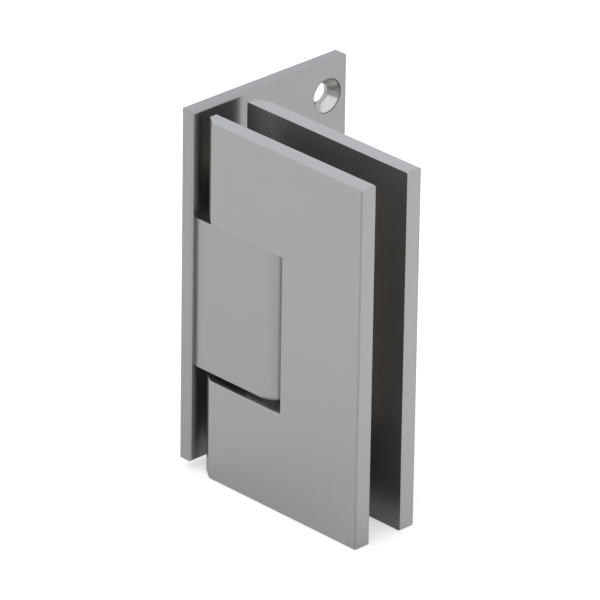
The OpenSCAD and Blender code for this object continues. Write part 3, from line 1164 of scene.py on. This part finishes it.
@dataclass
class DoorClamp:
    """The two leaves that hold the glass, with the pin and their screws.

    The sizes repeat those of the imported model, in metres. The notch's Y reaches up to the broken
    edges of the outer faces, and the lip is the floor of the front leaf's notch.
    """

    leaf_end: float = 58.4 * MM
    outer_face: float = 9.4 * MM
    inner_face: float = 5 * MM
    skin: float = 0.05 * MM
    inner_shade_fade: Span = (Axis.Z, -24 * MM, -39 * MM)
    corner: float = 0.42 * MM
    notch: tuple[Span, ...] = (
        (Axis.X, 5 * MM, 33.05 * MM),
        (Axis.Y, -9.28 * MM, 9.28 * MM),
        (Axis.Z, -20.75 * MM, 19.45 * MM),
    )
    lip: tuple[Span, ...] = (
        (Axis.X, 5 * MM, 33.05 * MM),
        (Axis.Y, -9.37 * MM, -5 * MM),
        (Axis.Z, -20.75 * MM, -20.6 * MM),
    )
    lip_highlight_fade: Span = (Axis.Y, -7.7 * MM, -9.3 * MM)
    pad: Span = (Axis.Y, -4.98 * MM, 6 * MM)
    pad_side: tuple[Span, ...] = ((Axis.X, 0.0, 20 * MM), (Axis.Y, -5 * MM, 5 * MM))
    pivot: Triple = (21.6 * MM, 0.0, 0.0)
    pin_edge: float = 0.06 * MM
    screw_sink: float = 4.63 * MM
    screw_nodes: tuple[str, ...] = (
        "clamp_screw_upper_inner",
        "clamp_screw_upper_outer",
        "clamp_screw_lower_inner",
        "clamp_screw_lower_outer",
    )
    screw: Screw = replace(COUNTERSUNK, length=14 * MM)
    set_screw: Screw = HEADLESS
    set_socket: float = 1.3 * MM

    def _shared_zones(self, side: int) -> tuple[Zone, ...]:
        """Return the zones that both leaves have.

        Args:
            side: -1 for the front leaf and 1 for the rear one.

        Returns:
            The inner face, its lower part with painted shade, and the upright outer corner with a
            painted dark reflection.
        """
        inner = (Axis.Y.near(side * self.inner_face, self.skin),)
        corner = (
            Axis.X.near(self.leaf_end, self.corner),
            Axis.Y.near(side * self.outer_face, self.corner),
        )
        return (
            FineZone(INNER, inner),
            SpanZone(PAINTED_INNER_SHADE, inner, (self.inner_shade_fade,)),
            SpanZone(PAINTED_CORNER_SHADE, corner),
        )

    def front_leaf(self) -> Object:
        """Make the leaf nearest the camera, with its cast pad between the leaves, painted light on
        the pad's wall side and a painted highlight on its notch's floor.

        Returns:
            The leaf.
        """
        zones = (
            *self._shared_zones(-1),
            SpanZone(INNER_NOTCH, self.notch),
            SpanZone(PAINTED_LIP_HIGHLIGHT, self.lip, (self.lip_highlight_fade,)),
            FineZone(CAST, (self.pad,)),
            SpanZone(PAINTED_CAST_LIGHT, self.pad_side, facing=WALLWARD),
        )
        coat = MetalCoat("satin_front_leaf", SATIN, zones).material()
        return Metalwork.dressed("satin_front_leaf", "front_leaf", coat, "satin_metal")

    def rear_leaf(self) -> Object:
        """Make the leaf behind, with bright countersinks for its screws.

        Returns:
            The leaf.
        """
        zones = [*self._shared_zones(1), SpanZone(INNER, self.notch)]
        for node in self.screw_nodes:
            low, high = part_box(node)
            centre = tuple((low + high) / 2)
            turned = replace(TURNED, along=Axis.Y, centre=centre)
            zones.append(RoundZone(turned, self.screw_sink, Axis.Y, centre))
        coat = MetalCoat("satin_rear_leaf", SATIN, tuple(zones)).material()
        return Metalwork.dressed("satin_rear_leaf", "rear_leaf", coat, "satin_metal")

    def pin(self) -> Object:
        """Make the ground pivot pin.

        Returns:
            The pin.
        """
        coat = MetalCoat("ground_pin", replace(PIN, centre=self.pivot)).material()
        name, node = "ground_pivot_pin", "pivot_pin"
        return Metalwork.dressed(name, node, coat, "pin_steel", self.pin_edge)

    def build(self) -> None:
        """Make every piece of the clamp and let it ride on its body."""
        coat = ScrewCoat("clamp_steel", SCREW).material()
        clamp = self.screw.piece("clamp_screws", self.screw_nodes, (0, -1, 0), coat)
        nodes = ("set_screw_upper", "set_screw_lower")
        coat = ScrewCoat("blackened_steel", BLACKENED, socket=self.set_socket).material()
        sets = self.set_screw.piece("set_screws", nodes, (0, -1, 0), coat)
        for piece in [self.front_leaf(), self.rear_leaf(), self.pin(), clamp, sets]:
            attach(piece, "door_clamp")
            LOG.info("%s rides on door_clamp", piece.name)


@dataclass(frozen=True)
class PhotoCamera:
    """The camera, solved from the corners of the plate, block and leaves.

    Attributes:
        place: Where it stands.
        aim: The point in the middle of the picture.
        roll: How far it is turned about its own line of sight, in degrees.
        lens: Focal length in millimetres on a 36 mm wide sensor.
    """

    place: Triple = (1.10113, -1.04627, 0.73300)
    aim: Triple = (0.028111, 0.001275, 0.003432)
    roll: float = 0.8895
    lens: float = 434.60

    def build(self) -> None:
        """Make the camera and use it for the scene."""
        data = bpy.data.cameras.new("photo_camera")
        data.lens, data.sensor_width = self.lens, 36.0
        data.clip_start, data.clip_end = 0.05, 30.0
        camera = in_scene("photo_camera", data)
        sight = Vector(self.aim) - Vector(self.place)
        level = sight.to_track_quat("-Z", "Y").to_matrix().to_4x4()
        roll = Matrix.Rotation(math.radians(self.roll), 4, "Z")
        camera.matrix_world = Matrix.Translation(self.place) @ level @ roll
        bpy.context.scene.camera = camera


@dataclass(frozen=True)
class Softbox:
    """A large square lamp that points at the hinge."""

    name: str
    place: Triple
    side: float
    power: float
    colour: Colour = (1.0, 1.0, 1.0)

    def build(self) -> None:
        """Hang the lamp."""
        data = bpy.data.lights.new(self.name, "AREA")
        data.shape, data.size = "SQUARE", self.side
        data.energy, data.color = self.power, self.colour
        lamp = in_scene(self.name, data)
        lamp.location = self.place
        lamp.rotation_euler = (-Vector(self.place)).to_track_quat("-Z", "Y").to_euler()


@dataclass(frozen=True)
class Studio:
    """A pale floor, white surroundings and soft lamps at a plain level.

    The floor has a glow of its own: one for the camera, and one in metal and glass that is dimmer
    towards the camera and on the left of where the shades start. A fade is the cosine off that
    direction at which the shade starts, and that at which it is complete.
    """

    floor_side: float = 12.0
    floor_gap: float = 0.03 * MM
    floor_colour: Colour = (0.8, 0.8, 0.8)
    floor_patch: float = 1 / 9
    floor_mottle: float = 0.01
    floor_white: float = 0.45
    floor_lift: float = 0.26
    front_shade: float = 0.52
    front_fade: tuple[float, float] = (0.45, 0.98)
    left_shade: float = 0.28
    left_fade: tuple[float, float] = (0.2, 0.8)
    shade_start: Triple = (55 * MM, -6 * MM, 0.0)
    sky: Colour = (0.9, 0.9, 0.9)
    lamps: tuple[Softbox, ...] = (
        Softbox("back_softbox", (-1.2, 1.2, 0.8), 1.4, 0.9, (0.36, 0.51, 1.0)),
        Softbox("top_softbox", (-0.1, -0.2, 2.2), 2.0, 6.0),
    )

    @staticmethod
    def _rays(graph: Graph) -> tuple[Signal, Signal]:
        """Tell apart the ways in which something is seen.

        Args:
            graph: The nodes.

        Returns:
            1 for what the camera sees itself, and 1 for what metal and glass show.
        """
        straight = graph.node("ShaderNodeLightPath", output="Is Camera Ray")
        outputs = straight.socket.node.outputs
        shiny = Signal(graph, outputs["Is Glossy Ray"])
        clear = Signal(graph, outputs["Is Transmission Ray"])
        return straight, shiny.maths("MAXIMUM", clear)

    def _glow(self, graph: MaterialGraph) -> Signal:
        """Return the strength of the floor's own glow, with painted shade as in a room with a
        photographer.

        Args:
            graph: The floor's nodes.

        Returns:
            The strength.
        """
        straight, mirrored = self._rays(graph)
        x, y, _ = (graph.place - self.shade_start).parts()
        far = x.hypotenuse(y) + 1e-4
        front = ((x - y) * math.sqrt(0.5) / far).rise(*self.front_fade)
        left = ((x + y) * -math.sqrt(0.5) / far).rise(*self.left_fade)
        share = 1.0 - front * self.front_shade - left * self.left_shade
        return straight * self.floor_white + mirrored * share * self.floor_lift

    def world(self) -> None:
        """Make the surroundings: white to the eye, and a plain soft light on the hinge."""
        world = bpy.data.worlds.new("white_surroundings")
        world.use_nodes = True
        graph = Graph(world.node_tree)
        straight, mirrored = self._rays(graph)
        shown = graph.mix(straight.maths("MAXIMUM", mirrored), self.sky, (1.0, 1.0, 1.0))
        light = graph.node("ShaderNodeBackground", {}, {"Color": shown, "Strength": 1.0})
        graph.node("ShaderNodeOutputWorld", {}, {"Surface": light})
        bpy.context.scene.world = world

    def floor(self, level: float) -> None:
        """Lay the floor just under the hinge.

        Args:
            level: The height of the hinge's lowest point.
        """
        half, z = self.floor_side / 2, level - self.floor_gap
        mesh = bpy.data.meshes.new("pale_floor")
        corners = [(-half, -half, z), (half, -half, z), (half, half, z), (-half, half, z)]
        mesh.from_pydata(corners, [], [(0, 1, 2, 3)])
        graph = MaterialGraph("pale_floor")
        tone = (graph.noise(graph.place, self.floor_patch, 3.0) - 0.5) * self.floor_mottle + 1.0
        paper = graph.node(
            "ShaderNodeBsdfDiffuse", {}, {"Color": tone * self.floor_colour, "Roughness": 0.5}
        )
        glow = graph.node("ShaderNodeEmission", {}, {"Strength": self._glow(graph)})
        both = graph.node("ShaderNodeAddShader", {}, {0: paper, 1: glow})
        graph.node("ShaderNodeOutputMaterial", {}, {"Surface": both})
        mesh.materials.append(graph.material)
        floor = in_scene("pale_floor", mesh)
        floor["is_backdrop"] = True

    def build(self, level: float) -> None:
        """Set up the surroundings, the floor and the lamps.

        Args:
            level: The height of the hinge's lowest point.
        """
        self.world()
        self.floor(level)
        for lamp in self.lamps:
            lamp.build()
        bpy.context.scene.view_settings.view_transform = "Standard"


def main() -> None:
    """Build the studio and the hinge."""
    logging.basicConfig(level=logging.INFO, format="%(message)s")
    cad_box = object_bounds()
    PhotoCamera().build()
    Studio().build(cad_box[0].z)
    WallBracket().build()
    DoorClamp().build()
    Detent().build()
    bpy.context.view_layer.update()


if __name__ == "__main__":
    main()
